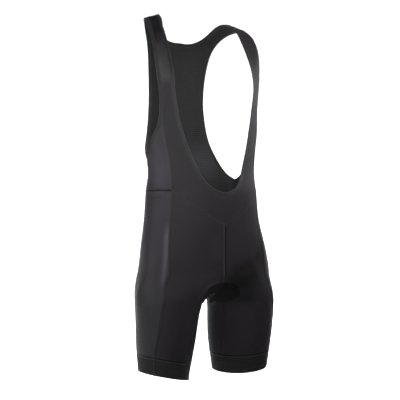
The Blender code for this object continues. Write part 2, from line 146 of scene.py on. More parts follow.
class ColourSettings(bpy.types.PropertyGroup):
    """Colours of the cloth and thread"""
    front: FloatVectorProperty(
        name="Front knit", description="Colour of the bib and of the legs' front and back", subtype="COLOR",
        default=linear("343135"))
    side: FloatVectorProperty(
        name="Side knit", description="Colour of the side panels", subtype="COLOR", default=linear("3d3b40"))
    back: FloatVectorProperty(
        name="Mesh", description="Colour of the mesh back", subtype="COLOR", default=linear("3b3a3c"))
    # The gusset's colour is the brushed knit's own, darkened further as painted shade in the crotch
    gusset: FloatVectorProperty(
        name="Gusset", description="Colour of the gusset", subtype="COLOR", default=linear("29282a"))
    band: FloatVectorProperty(
        name="Band", description="Colour of the leg bands", subtype="COLOR", default=linear("343335"))
    tape: FloatVectorProperty(
        name="Binding", description="Colour of the bindings", subtype="COLOR", default=linear("393839"))
    thread: FloatVectorProperty(
        name="Thread", description="Colour of the thread", subtype="COLOR", default=linear("434144"))
    floor: FloatVectorProperty(
        name="Floor", description="Colour of the floor and wall", subtype="COLOR", default=linear("f4f4f4"))


class GarmentSettings(bpy.types.PropertyGroup):
    """Everything that a user would change"""
    cloth: PointerProperty(type=ClothSettings)
    seams: PointerProperty(type=SeamSettings)
    edges: PointerProperty(type=EdgeSettings)
    colours: PointerProperty(type=ColourSettings)


def settings():
    """The garment's settings, as they now stand."""
    return bpy.context.scene.garment


# ---- Node helper and materials ----


def add(tree, kind, inputs=(), **attributes):
    """Adds a node. Its inputs are in order, or by socket name: a value, a socket or a node to link."""
    made = tree.nodes.new(kind)
    for name, value in attributes.items():
        setattr(made, name, value)
    for socket, value in inputs.items() if isinstance(inputs, dict) else enumerate(inputs):
        if isinstance(value, bpy.types.Node):
            value = value.outputs[0]
        if isinstance(value, bpy.types.NodeSocket):
            tree.links.new(value, made.inputs[socket])
        else:
            made.inputs[socket].default_value = value
    return made


def chevron_loops(tree, across, along, wale, course):
    """Height of a knit face: upright wales whose loops lean left and right in turn."""
    courses = add(tree, "ShaderNodeMath", (along, 1 / course), operation="MULTIPLY")
    row = add(tree, "ShaderNodeMath", (courses, 0.5), operation="PINGPONG")
    lean = add(tree, "ShaderNodeMath", (across, 1 / wale, row), operation="MULTIPLY_ADD")
    turn = add(tree, "ShaderNodeMath", (lean, pi), operation="MULTIPLY")
    wave = add(tree, "ShaderNodeMath", (turn,), operation="SINE")
    return add(tree, "ShaderNodeMath", (wave,), operation="ABSOLUTE")


def eyelets(tree, across, along, pitch, row):
    """Height of a fine mesh: staggered eyelets between rows of thread."""
    turn_across = add(tree, "ShaderNodeMath", (across, 2 * pi / pitch), operation="MULTIPLY")
    turn_along = add(tree, "ShaderNodeMath", (along, 2 * pi / row), operation="MULTIPLY")
    one = add(tree, "ShaderNodeMath", (turn_across,), operation="COSINE")
    two = add(tree, "ShaderNodeMath", (turn_along,), operation="COSINE")
    hole = add(tree, "ShaderNodeMath", (one, two), operation="MULTIPLY")
    turned = add(tree, "ShaderNodeMath", (hole, -1.0), operation="MULTIPLY")
    floor = add(tree, "ShaderNodeMath", (turned, -0.2), operation="MAXIMUM")
    return add(tree, "ShaderNodeMath", (two, -0.45, floor), operation="MULTIPLY_ADD")


def cross_ribs(tree, across, _, pitch):
    """Height of a woven tape: fine ribs across its length."""
    turn = add(tree, "ShaderNodeMath", (across, pi / pitch), operation="MULTIPLY")
    wave = add(tree, "ShaderNodeMath", (turn,), operation="SINE")
    return add(tree, "ShaderNodeMath", (wave,), operation="ABSOLUTE")


DYE_CLOUDS = 14.0                # patches of uneven dye in a metre
YARNS = (700.0, 45.0, 1.0)       # uneven yarns in a metre across the wales, and changes in one along them
DYE_SHARE, YARN_SHARE, LIGHT_AND_WEAR_SHARE = 0.34, 0.22, 0.25         # how much each changes the colour
# The deepest troughs are where the painted shade is deepest
DARKEST = 0.10                   # share of the colour that is left in the deepest trough


def fabric(name, colour, pattern, sizes, bump, contrast, rough, sheen, sheen_tint):
    """Cloth: a pattern in metres on the flat cut, with uneven dye, painted highlights and shade with soft
    wear, and a fuzz of short fibres.
    """
    material = bpy.data.materials.new(name + "_cloth")
    material.use_nodes = True
    tree = material.node_tree
    tree.nodes.clear()
    cut = add(tree, "ShaderNodeUVMap", uv_map="Cut")
    flat = add(tree, "ShaderNodeSeparateXYZ", (cut,))
    place = add(tree, "ShaderNodeTexCoord").outputs["Object"]
    height = pattern(tree, flat.outputs[0], flat.outputs[1], *sizes)

    # Dye takes unevenly over a hand's width, and yarns differ a little along the wales
    cloud = add(tree, "ShaderNodeTexNoise", {"Vector": place, "Scale": DYE_CLOUDS, "Detail": 3.0})
    stretched = add(tree, "ShaderNodeVectorMath", (cut, YARNS), operation="MULTIPLY")
    yarn = add(tree, "ShaderNodeTexNoise", {"Vector": stretched, "Scale": 1.0, "Detail": 2.0})
    # Painted highlights on the crests of folds, seams and trims and painted shade in their troughs, with soft
    # wear beside the seams
    light_and_wear_attribute = add(tree, "ShaderNodeAttribute", attribute_name="painted_light_and_wear")
    dyed = colour
    for tone, middle, share in ((cloud, 0.5, DYE_SHARE), (yarn, 0.5, YARN_SHARE), (height, 0.5, contrast),
                                (light_and_wear_attribute.outputs["Fac"], 0.0, LIGHT_AND_WEAR_SHARE)):
        shade = add(tree, "ShaderNodeMath", (tone, share, 1.0 - middle * share), operation="MULTIPLY_ADD")
        above_black = add(tree, "ShaderNodeMath", (shade, DARKEST), operation="MAXIMUM")
        dyed = add(tree, "ShaderNodeVectorMath", {0: dyed, "Scale": above_black}, operation="SCALE")
    soft = add(tree, "ShaderNodeMath", (cloud, 0.2, rough - 0.1), operation="MULTIPLY_ADD")
    relief = add(tree, "ShaderNodeBump", {"Height": height, "Distance": bump, "Strength": 0.6})
    shader = add(tree, "ShaderNodeBsdfPrincipled", {
        "Base Color": dyed, "Roughness": soft, "Normal": relief, "IOR": 1.5, "Specular IOR Level": 0.18,
        "Sheen Weight": sheen, "Sheen Roughness": 0.45, "Sheen Tint": (*linear(sheen_tint), 1.0)})
    add(tree, "ShaderNodeOutputMaterial", (shader,))
    return material


FABRICS = {
    # colour, pattern, its sizes in metres, bump in metres, contrast, roughness, sheen, tint of the sheen
    # Warp-knitted nylon with elastane, dyed and heat set: matt, with a faint violet fuzz at the edges.
    # Wales are 0.45 mm apart in the cloth; they are drawn 0.9 mm apart, so that they show.
    "warp_knit_nylon_elastane":
        ("front", chevron_loops, (0.0009, 0.0012), 0.00012, 0.30, 0.62, 0.08, "b9b2c4"),
    # Smooth interlock, calendered: the same yarn with a closer face that catches more light
    "smooth_side_knit":
        ("side", chevron_loops, (0.0008, 0.0009), 0.00008, 0.22, 0.50, 0.10, "cfc8da"),
    # Raschel-knitted mesh: its 1.6 mm eyelets are drawn 2.6 mm apart in level rows, as dark pits
    "fine_mesh_knit":
        ("back", eyelets, (0.0026, 0.0048), 0.0002, 0.34, 0.75, 0.05, "b4b8b4"),
    # Brushed knit: raised fibres blur its wales
    "brushed_gusset_knit":
        ("gusset", chevron_loops, (0.0011, 0.0014), 0.00010, 0.20, 0.80, 0.04, "9a949e"),
    # Woven elastic: level ribs are in its shape, and the weft shows as fine upright ribs
    "ribbed_elastic_band":
        ("band", cross_ribs, (0.0011,), 0.00010, 0.30, 0.60, 0.06, "b2adb8"),
    # Fold-over elastic: a tape with fine ribs across it and a slight gloss on its fold
    "folded_elastic_binding":
        ("tape", cross_ribs, (0.0010,), 0.00010, 0.25, 0.48, 0.10, "cbc5d2"),
    # Textured polyester thread: soft and slightly paler than the cloth
    "seam_thread":
        ("thread", cross_ribs, (0.0007,), 0.00005, 0.20, 0.55, 0.08, "cbc5d2"),
}


def finish_of(name):
    """The material of a slot, or of the thread."""
    made = bpy.data.materials.get(name + "_cloth")
    if made:
        return made
    colour, *rest = FABRICS[name]
    return fabric(name, getattr(settings().colours, colour), *rest)


# ---- Objects, meshes and points ----


def evaluated(piece):
    """A new mesh with the object's modifiers applied."""
    piece.update_tag()
    depsgraph = bpy.context.evaluated_depsgraph_get()
    depsgraph.update()
    return bpy.data.meshes.new_from_object(piece.evaluated_get(depsgraph), depsgraph=depsgraph)


def put(name, data):
    """A new object in the scene."""
    piece = bpy.data.objects.new(name, data)
    bpy.context.scene.collection.objects.link(piece)
    return piece


def lengths(rows):
    """Length of each row's vector."""
    return np.linalg.norm(rows, axis=-1)


def unit(rows):
    """Each row's direction, of length one."""
    return rows / lengths(rows)[..., None]


def read(items, field, size):
    """A field of a mesh's parts, as rows of numbers."""
    values = np.zeros(len(items) * size)
    items.foreach_get(field, values)
    return values.reshape(-1, size)


def read_points(mesh):
    return read(mesh.vertices, "co", 3)


def read_normals(mesh):
    return read(mesh.vertex_normals, "vector", 3)


def point_tree(numbered):
    """A search tree of places, each with its number."""
    tree = KDTree(len(numbered))
    for place, number in numbered:
        tree.insert(place, number)
    tree.balance()
    return tree


def write_points(mesh, points):
    mesh.vertices.foreach_set("co", np.asarray(points, float).ravel())
    mesh.update()


def open_edges(mesh):
    """The vertices on a sheet's open edges, each with its neighbours along them."""
    uses = {}
    for face in mesh.polygons:
        for key in face.edge_keys:
            uses[key] = uses.get(key, 0) + 1
    rim = {}
    for (a, b), count in uses.items():
        if count == 1:
            rim.setdefault(a, []).append(b)
            rim.setdefault(b, []).append(a)
    return rim


def walk(near, left, here):
    """Goes from neighbour to neighbour through what is left, and takes it out."""
    path = []
    while here is not None:
        path.append(here)
        left.discard(here)
        here = next((v for v in near[here] if v in left), None)
    return path


# ---- The smooth surface of a panel ----

WALL_SPREAD = 1.6        # an inner face is at most this many walls across from its outer one
SHARP_EDGE = radians(70)         # one wall ends and the next begins at an edge sharper than this
CORNER = radians(32)     # a panel's outline has a corner where it turns by more than this


def wall_faces(shell, wall):
    """Indices of the faces of a closed shell's outer wall: across from another face, and the larger side."""
    tree = BVHTree.FromBMesh(shell)
    inside = set()
    for face in shell.faces:
        just_under = face.calc_center_median() - face.normal * 1e-5
        place, _, _, away = tree.ray_cast(just_under, -face.normal, 5 * wall)
        if place is not None and away < WALL_SPREAD * wall:
            inside.add(face.index)
    groups, seen = [], set()
    for index in sorted(inside):
        if index in seen:
            continue
        group, stack = [], [shell.faces[index]]
        seen.add(index)
        while stack:
            face = stack.pop()
            group.append(face)
            for edge in face.edges:
                if len(edge.link_faces) < 2 or edge.calc_face_angle(0) > SHARP_EDGE:
                    continue
                for other in edge.link_faces:
                    if other.index in inside and other.index not in seen:
                        seen.add(other.index)
                        stack.append(other)
        groups.append(group)
    largest = max(groups, key=lambda group: sum(face.calc_area() for face in group))
    return {face.index for face in largest}


def squareness(edge):
    """How far the two triangles at an edge are from a flat rectangle."""
    one, two = edge.link_faces
    start, end = edge.verts
    left = next(v for v in one.verts if v not in edge.verts)
    right = next(v for v in two.verts if v not in edge.verts)
    ring = [start.co, left.co, end.co, right.co]
    worst = 0.0
    for i in range(4):
        before, here, after = ring[i - 1], ring[i], ring[(i + 1) % 4]
        worst = max(worst, abs((before - here).angle(after - here, 0) - pi / 2))
    return worst + edge.calc_face_angle(0)


def join_to_squares(sheet):
    """Joins a sheet's triangles in pairs, those with only one way to pair first."""
    free = {face: {} for face in sheet.faces}
    for edge in sheet.edges:
        if len(edge.link_faces) == 2:
            one, two = edge.link_faces
            free[one][two] = free[two][one] = (squareness(edge), edge)
    dropped = []
    while free:
        for face in [face for face, others in free.items() if not others]:
            del free[face]
        if not free:
            break
        fewest = [face for face, others in free.items() if len(others) == 1] or list(free)
        face = min(fewest, key=lambda f: min(cost for cost, _ in free[f].values()))
        other = min(free[face], key=lambda f: free[face][f][0])
        dropped.append(free[face][other][1])
        for taken in (face, other):
            for near in list(free[taken]):
                free[near].pop(taken, None)
        del free[face], free[other]
    bmesh.ops.dissolve_edges(sheet, edges=dropped, use_verts=False, use_face_split=False)


def middle_sheet(node):
    """Open sheet of squares midway between the two walls of a node."""
    wall = SOLID_WALL[node]
    shell = bmesh.new()
    shell.from_mesh(frame["nodes"][node].data)
    bmesh.ops.remove_doubles(shell, verts=shell.verts, dist=1e-6)
    shell.normal_update()
    shell.faces.ensure_lookup_table()
    outer = wall_faces(shell, wall)
    kept = {v.index for i in outer for v in shell.faces[i].verts}
    others = point_tree([(v.co, v.index) for v in shell.verts if v.index not in kept])
    places = {}
    shell.verts.ensure_lookup_table()
    for index in kept:
        v = shell.verts[index]
        facing = sum((f.normal * f.calc_area() for f in v.link_faces if f.index in outer), Vector())
        partner = others.find(v.co - facing.normalized() * wall)[0]
        places[index] = (v.co + partner) / 2
    for index, place in places.items():
        shell.verts[index].co = place
    bmesh.ops.delete(shell, geom=[f for f in shell.faces if f.index not in outer], context="FACES")
    join_to_squares(shell)
    shell.normal_update()
    return shell


def smooth_mesh(node, splits):
    """The middle sheet split and smoothed, so that it still passes through the sheet's own points."""
    sheet = middle_sheet(node)
    corners = sheet.verts.layers.float.new("crease_vert")
    for v in sheet.verts:
        rim = [edge.other_vert(v) for edge in v.link_edges if edge.is_boundary]
        if len(rim) == 2 and (v.co - rim[0].co).angle(rim[1].co - v.co, 0) > CORNER:
            v[corners] = 1.0
    mesh = bpy.data.meshes.new(node + "_sheet")
    sheet.to_mesh(mesh)
    sheet.free()
    piece = put(node + "_sheet", mesh)
    if node in PANELS:
        lay_flat(piece)
    smoothing = piece.modifiers.new("Smooth", "SUBSURF")
    smoothing.boundary_smooth = "PRESERVE_CORNERS"
    smoothing.levels = smoothing.render_levels = 1
    goal = read_points(mesh)
    for _ in range(4):
        reached = read_points(evaluated(piece))[:len(goal)]
        write_points(mesh, read_points(mesh) + goal - reached)
    smoothing.levels = smoothing.render_levels = splits
    smooth = evaluated(piece)
    smooth.name = node
    bpy.data.objects.remove(piece)
    return smooth


def lay_flat(piece):
    """Unwraps a panel to its flat cut, in metres, with the wales upright."""
    for other in bpy.context.view_layer.objects:
        other.select_set(other == piece)
    bpy.context.view_layer.objects.active = piece
    piece.data.uv_layers.new(name="Cut")
    bpy.ops.object.mode_set(mode="EDIT")
    bpy.ops.mesh.select_all(action="SELECT")
    bpy.ops.uv.unwrap(method="ANGLE_BASED", margin=0.0, correct_aspect=False, fill_holes=False)
    bpy.ops.object.mode_set(mode="OBJECT")
    mesh = piece.data
    cut = read(mesh.uv_layers["Cut"].data, "uv", 2)
    owner = [loop.vertex_index for loop in mesh.loops]
    flat = 0.0
    for face in mesh.polygons:
        ring = cut[list(face.loop_indices)]
        after = np.roll(ring, -1, axis=0)
        flat += abs((ring[:, 0] * after[:, 1] - ring[:, 1] * after[:, 0]).sum()) / 2
    cut *= (sum(face.area for face in mesh.polygons) / flat) ** 0.5
    height = read_points(mesh)[owner][:, 2]
    table = np.column_stack([cut, np.ones(len(cut))])
    slope = np.linalg.lstsq(table, height, rcond=None)[0][:2]
    up = slope / np.linalg.norm(slope)
    turned = np.column_stack([cut @ np.array([up[1], -up[0]]), cut @ up])
    turned -= turned.min(0)
    mesh.uv_layers["Cut"].data.foreach_set("uv", turned.ravel())


# ---- Creases ----

# Each crease runs through places on the cloth, found by looking out from the middle of the trunk or leg:
# degrees around (0 front, 90 side, 180 back) and height. A negative depth is a trough. side is -1 for the
# wearer's right and 1 for the left. The last column is painted light: above zero, how much paler a painted
# highlight makes the cloth there; below zero, how much darker painted shade makes it.
CREASES = [
    # where, side, [(around, height), ...], half width, depth, painted highlight (above zero) and shade (below
    # zero)
    # soft roll beside the front side seams, from the waist to the thigh, with a painted highlight along it
    ("trunk", -1, [(71.5, -0.484), (71, -0.532), (70.5, -0.567), (71, -0.603), (71.5, -0.650)],
     0.0060, 0.0022, 4.6),
    ("trunk", 1, [(71, -0.520), (70, -0.560), (70, -0.615)], 0.0075, 0.0014, 0.8),
    # short level wrinkles under the waist seam at the sides, with painted shade in them
    ("trunk", -1, [(104, -0.4300), (88, -0.4359), (76, -0.4335)], 0.0035, -0.0011, -1.2),
    ("trunk", -1, [(97, -0.4475), (79, -0.4450)], 0.0035, -0.0008, -0.8),
    ("trunk", 1, [(104, -0.4320), (86, -0.4370)], 0.0040, -0.0010, -0.6),
    ("trunk", 1, [(128, -0.4280), (150, -0.4350), (168, -0.4320)], 0.0045, -0.0012, -0.5),
    ("trunk", -1, [(134, -0.4310), (157, -0.4290)], 0.0045, -0.0010, -0.5),
    # the straps: painted shade where the right strap turns over the shoulder, painted light on the left
    # strap's top, a painted highlight over the right collarbone, and small creases, one with painted shade
    ("trunk", -1, [(112, -0.005), (98, -0.009), (90, -0.028), (83, -0.055), (76, -0.092), (73, -0.120)],
     0.0260, 0.0, -3.2),
    ("trunk", 1, [(112, -0.005), (98, -0.009), (90, -0.028), (83, -0.055), (77, -0.090)], 0.0240, 0.0, 1.0),
    ("trunk", -1, [(82, -0.082), (78, -0.088), (73, -0.082)], 0.0055, -0.0008, 0.0),
    ("trunk", -1, [(80, -0.064), (76, -0.092), (73, -0.118), (71.5, -0.142), (70, -0.188)],
     0.0230, 0.0008, 3.8),
    ("trunk", -1, [(76, -0.168), (70, -0.174), (65, -0.168)], 0.0070, -0.0008, -0.8),
    # groin folds, deeper on the leading leg, with painted shade in and below the leading leg's fold
    ("trunk", 1, [(4, -0.624), (22, -0.609), (40, -0.597), (57, -0.580), (68, -0.564)],
     0.0160, -0.0042, -0.9),
    ("trunk", 1, [(0, -0.648), (14, -0.640), (30, -0.632), (46, -0.622), (62, -0.604)], 0.0300, 0.0, -3.0),
    ("trunk", -1, [(16, -0.615), (34, -0.604), (50, -0.592)], 0.0110, -0.0010, 0.0),
    # a low rise beside the middle seam with a painted highlight on it
    ("trunk", -1, [(17, -0.520), (15, -0.555), (13, -0.590)], 0.0120, 0.0012, 0.8),
    # the crotch: a painted highlight on the rim where the trailing leg's cloth ends, and a deep fold behind
    # it with painted shade in and around it
    ("leg", -1, [(-10, -0.676), (-21, -0.662), (-29, -0.6465), (-39, -0.634), (-46, -0.6285), (-52, -0.6285)],
     0.0032, 0.0006, 2.8),
    ("leg", 1, [(-120, -0.688), (-99, -0.678), (-84, -0.670), (-70, -0.662)], 0.0080, -0.0030, -5.0),
    ("leg", 1, [(-80, -0.676), (-58, -0.672), (-30, -0.672), (0, -0.668)], 0.0180, 0.0, -1.4),
    # painted light on the smooth sides over the ribs, and on the mesh back
    ("trunk", -1, [(92, -0.318), (86, -0.350), (84, -0.385), (84, -0.418)], 0.0300, 0.0, 1.6),
    ("trunk", 1, [(92, -0.318), (86, -0.350), (84, -0.385), (84, -0.418)], 0.0300, 0.0, 1.0),
    ("trunk", 1, [(136, -0.290), (146, -0.335), (156, -0.372), (166, -0.430)], 0.0480, 0.0, 2.8),
    ("trunk", -1, [(136, -0.290), (146, -0.335), (156, -0.372), (166, -0.430)], 0.0480, 0.0, 1.8),
    # folds behind: under the seat, above the hems and over the shoulder blades, with painted shade in them
    ("trunk", -1, [(128, -0.612), (148, -0.628), (166, -0.632)], 0.0120, -0.0028, -1.0),
    ("trunk", 1, [(132, -0.604), (154, -0.622), (169, -0.629)], 0.0110, -0.0032, -1.0),
    ("leg", -1, [(150, -0.700), (168, -0.716), (190, -0.712)], 0.0080, -0.0014, -0.6),
    ("leg", 1, [(142, -0.742), (166, -0.752), (184, -0.746)], 0.0080, -0.0012, -0.6),
    ("trunk", -1, [(148, -0.262), (160, -0.300), (166, -0.350)], 0.0100, -0.0012, -0.5),
    ("trunk", 1, [(150, -0.235), (158, -0.285)], 0.0090, -0.0012, -0.5),
    # soft drag lines from the underarms, with painted shade in them
    ("trunk", -1, [(90, -0.322), (84, -0.344), (80, -0.372)], 0.0070, -0.0009, -0.6),
    ("trunk", 1, [(90, -0.324), (85, -0.356)], 0.0070, -0.0009, -0.5),
]
AXES = {
    # middle of the trunk or leg at its two ends, as (across, along, height)
    "trunk": ((0.0, -0.030, -0.10), (0.0, -0.050, -0.62)),
    "leg": ((0.095, -0.055, -0.66), (0.095, -0.040, -0.86)),
}


LOOK_REACH = 0.4         # a look outwards meets the cloth within this
LOOK_START, LOOK_END, LOOK_STEP = 0.050, 0.1975, 0.005      # places along a look that misses the cloth


def crease_points(bodies, where, side, spots):
    """Points of a crease: where each look outwards meets the cloth, or passes nearest to it."""
    top, bottom = (Vector(end) for end in AXES[where])
    points = []
    for around, height in spots:
        part = (height - top.z) / (bottom.z - top.z)
        middle = top.lerp(bottom, part)
        middle.x *= side
        way = Vector((sin(radians(around)) * side, -cos(radians(around)), 0.0))
        hits = [tree.ray_cast(middle, way, LOOK_REACH) for tree in bodies]
        hits = [hit for hit in hits if hit[0] is not None]
        if not hits:
            looks = [middle + way * away for away in np.arange(LOOK_START, LOOK_END, LOOK_STEP)]
            hits = [tree.find_nearest(look) for tree in bodies for look in looks]
        points.append(min(hits, key=lambda hit: hit[3])[0])
    return points


def crease_rise(places, line, width):
    """Height of a soft ridge along a line at each place: full on the line, dying away at its ends."""
    rise = np.zeros(len(places))
    travelled = [0.0]
    for one, two in zip(line, line[1:]):
        travelled.append(travelled[-1] + (two - one).length)
    for n, (one, two) in enumerate(zip(line, line[1:])):
        start, run = np.array(one), np.array(two - one)
        part = np.clip(((places - start) @ run) / max(run @ run, 1e-12), 0, 1)
        away = lengths(places - start - part[:, None] * run)
        along = (travelled[n] + part * np.linalg.norm(run)) / travelled[-1]
        fade = np.clip(np.minimum(along, 1 - along) * 4, 0, 1)
        fade = fade * fade * (3 - 2 * fade)
        rise = np.maximum(rise, np.exp(-(away / width) ** 2) * fade)
    return rise


SEAM_REACH = 0.0016      # points on two pieces that are this near share their way out of the cloth
SEAM_WIDEST = 0.0018     # edges of two sheets that are this near are sewn together
RIPPLE_REACH = 0.009     # how far from a seam the cloth ripples
RIPPLE_RATE = 130        # ripples have this many turns in a metre
SEAM_WEAR = 0.6          # how much paler the cloth is worn beside a seam

cloth = {}               # the smoothed sheet of each node


def blend_normals(points, normals):
    """Gives points that meet at a seam one way out of the cloth. Returns a search tree of such points."""
    shared = [(node, v) for node, mesh in cloth.items() for v in sorted(open_edges(mesh))]
    tree = point_tree([(points[node][v], i) for i, (node, v) in enumerate(shared)])
    blended = []
    for node, v in shared:
        near = [shared[i] for _, i, _ in tree.find_range(points[node][v], SEAM_REACH)]
        blended.append(unit(sum(normals[other][w] for other, w in near)))
    for (node, v), normal in zip(shared, blended):
        normals[node][v] = normal
    return tree


def crease_rise_light_and_wear(places, lines, edges, pucker):
    """How far creases and ripples raise the cloth at each place, and its painted highlights and shade there,
    with soft wear beside the seams.
    """
    rise, tone = np.zeros(len(places)), np.zeros(len(places))
    for line, width, depth, painted_light_and_wear in lines:
        share = crease_rise(places, line, width)
        rise += share * depth
        tone += share * painted_light_and_wear
    for v, place in enumerate(places):
        near = max(1 - edges.find(place)[2] / RIPPLE_REACH, 0.0)
        if near > 0:
            rise[v] += noise(Vector(place) * RIPPLE_RATE) * near ** 2 * pucker
            tone[v] += near * SEAM_WEAR
    return rise, tone


def shape_cloth():
    """Smooths every node of cloth once, and presses the creases and the ripples beside seams into them."""
    if cloth:
        return
    values = settings().cloth
    for node in (*PANELS, *BINDINGS, *BANDS):
        cloth[node] = smooth_mesh(node, values.splits)
    points = {node: read_points(mesh) for node, mesh in cloth.items()}
    normals = {node: read_normals(mesh) for node, mesh in cloth.items()}
    edges = blend_normals(points, normals)
    bodies = []
    for node in (*PANELS, *BINDINGS):
        faces = [tuple(face.vertices) for face in cloth[node].polygons]
        bodies.append(BVHTree.FromPolygons([Vector(p) for p in points[node]], faces))
    lines = [(crease_points(bodies, where, side, spots), width, depth * values.crease_depth, painted_light_and_wear)
             for where, side, spots, width, depth, painted_light_and_wear in CREASES]
    for node, mesh in cloth.items():
        rise, tone = crease_rise_light_and_wear(points[node], lines, edges, values.pucker)
        write_points(mesh, points[node] + normals[node] * rise[:, None])
        # painted highlights and shade of the creases, with soft wear beside the seams
        mesh.attributes.new("painted_light_and_wear", "FLOAT", "POINT").data.foreach_set("value", tone)


# ---- Making pieces ----

LEAST_FILLED = 0.31      # a cut with its straps upright fills at least this share of its rectangle

sewn_to = {}             # for each panel, the pieces that go with its cut


def link(name, mesh, material):
    """A new smooth-shaded object of one material."""
    mesh.materials.clear()
    mesh.materials.append(material)
    mesh.shade_smooth()
    return put(name, mesh)


def cloth_mesh(name, vertices, faces, cuts, tones):
    """A closed mesh with its place on the flat cut and its painted highlights and shade, its faces turned
    outwards.
    """
    mesh = bpy.data.meshes.new(name)
    mesh.from_pydata([tuple(v) for v in vertices], [], faces)
    mesh.uv_layers.new(name="Cut").data.foreach_set("uv", np.array(cuts, float).ravel())
    mesh.attributes.new("painted_light_and_wear", "FLOAT", "POINT").data.foreach_set("value", tones)
    shape = bmesh.new()
    shape.from_mesh(mesh)
    bmesh.ops.recalc_face_normals(shape, faces=shape.faces)
    shape.to_mesh(mesh)
    shape.free()
    return mesh


def ride_along(piece, owner):
    """Fixes a piece to the garment, and counts it with its owner's cut. A band has no owner."""
    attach(piece, BODY)
    sewn_to.setdefault(owner, []).append(piece)


def declare_cut(width, length, area):
    """Works out a flat cut's width, which nothing then uses. Long straps splay when unwrapped, but are cut
    upright from a narrower piece.
    """
    width = min(width, area / (LEAST_FILLED * length))


def make_panel(node):
    """One knit panel as a thin shell on the shape of its node."""
    shape_cloth()
    slot = PANELS[node]
    mesh = cloth[node].copy()
    piece = link(node + "_panel", mesh, finish_of(slot))
    wall = piece.modifiers.new("Cloth", "SOLIDIFY")
    wall.thickness = settings().cloth.panel_wall
    wall.offset = 0.0
    wall.use_even_offset = True
    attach(piece, BODY)
    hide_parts(node)
    width, length = np.ptp(read(mesh.uv_layers["Cut"].data, "uv", 2), axis=0).tolist()
    declare_cut(width, length, sum(face.area for face in mesh.polygons))


def rows_of_ring(mesh, low_edge_first):
    """Vertex numbers of a ring of cloth, row by row, from its lower open edge or from its shorter one."""
    rim, near = open_edges(mesh), {}
    for a, b in mesh.edge_keys:
        near.setdefault(a, set()).add(b)
        near.setdefault(b, set()).add(a)
    points = read_points(mesh)
    loops, left = [], set(rim)
    while left:
        loops.append(walk(rim, left, min(left)))

    def height(loop):
        return points[loop][:, 2].mean()

    def length(loop):
        return lengths(points[loop] - np.roll(points[loop], 1, axis=0)).sum()

    rows = [min(loops, key=height if low_edge_first else length)]
    used = set(rows[0])
    while len(used) < len(points):
        row = [next(v for v in near[w] if v not in used) for w in rows[-1]]
        rows.append(row)
        used |= set(row)
    return rows


def sweep_faces(base, along, levels, closed):
    """Faces, and their places on the flat cut, of a swept section whose points are numbered from base."""
    spans, sides = len(along) - 1, len(levels) - 1
    stops = spans if closed else spans + 1
    faces, cuts = [], []
    for n in range(spans):
        here, ahead = base + n * sides, base + (n + 1) % stops * sides
        for k in range(sides):
            beside = (k + 1) % sides
            faces.append((here + k, here + beside, ahead + beside, ahead + k))
            cuts += [(along[n], levels[k]), (along[n], levels[k + 1]),
                     (along[n + 1], levels[k + 1]), (along[n + 1], levels[k])]
    return faces, cuts


def swept_ring(name, mesh, rows, profile):
    """Closed ring with a cross-section of (share of the width, metres out of the middle, paleness: painted
    highlight or shade).
    """
    points, normals = read_points(mesh)[rows], read_normals(mesh)[rows]
    last = len(rows) - 1
    along = np.append(0.0, np.cumsum(lengths(np.roll(points[0], -1, axis=0) - points[0])))
    width = lengths(np.diff(points, axis=0)).sum(0).mean()
    rings = []
    for share, out, _ in profile:
        inside = min(max(share, 0.0), 1.0)
        at = inside * last
        i = min(int(at), last - 1)
        middle = points[i] + (points[i + 1] - points[i]) * (at - i)
        normal = unit(normals[i] + (normals[i + 1] - normals[i]) * (at - i))
        beyond = (share - inside) * width
        rings.append(middle + normal * out + unit(points[i + 1] - points[i]) * beyond)
    steps = [lengths(ring - before).mean() for before, ring in zip(rings, [*rings[1:], rings[0]])]
    levels = np.append(0.0, np.cumsum(steps))
    faces, cuts = sweep_faces(0, along, levels, True)
    tones = [painted_light_and_wear for _, _, painted_light_and_wear in profile] * points.shape[1]
    vertices = np.stack(rings, axis=1).reshape(-1, 3)
    return cloth_mesh(name, vertices, faces, cuts, tones), (float(along[-1]), width)


# The bindings' twin stitches: share of the width that they run at, of the wall that they are laid at,
# and of the width between them
THREAD_LINE, THREAD_LIFT, THREAD_SPACING = 0.58, 0.46, 0.36


def binding_profile(wall):
    """Fold-over elastic: a round fold at the opening, and a lip that lies over the panel on both faces."""
    # paleness: painted highlights on the round fold and the crests, painted shade in the troughs
    half = [(-0.10, 0.0, 0.0), (-0.07, 0.45, 0.6), (0.0, 0.80, 1.2), (0.10, 0.98, 0.8), (0.28, 1.0, 0.0),
            (0.40, 0.86, -1.0), (0.52, 1.0, 0.0), (0.66, 0.98, 0.0), (0.76, 0.86, -1.0), (0.86, 0.98, 0.8),
            (1.02, 0.90, 0.4), (1.09, 0.72, -1.6)]
    outer = [(share, rise * wall / 2, painted_light_and_wear) for share, rise, painted_light_and_wear in half]
    return outer + [(share, -rise, painted_light_and_wear) for share, rise, painted_light_and_wear in outer[:0:-1]]


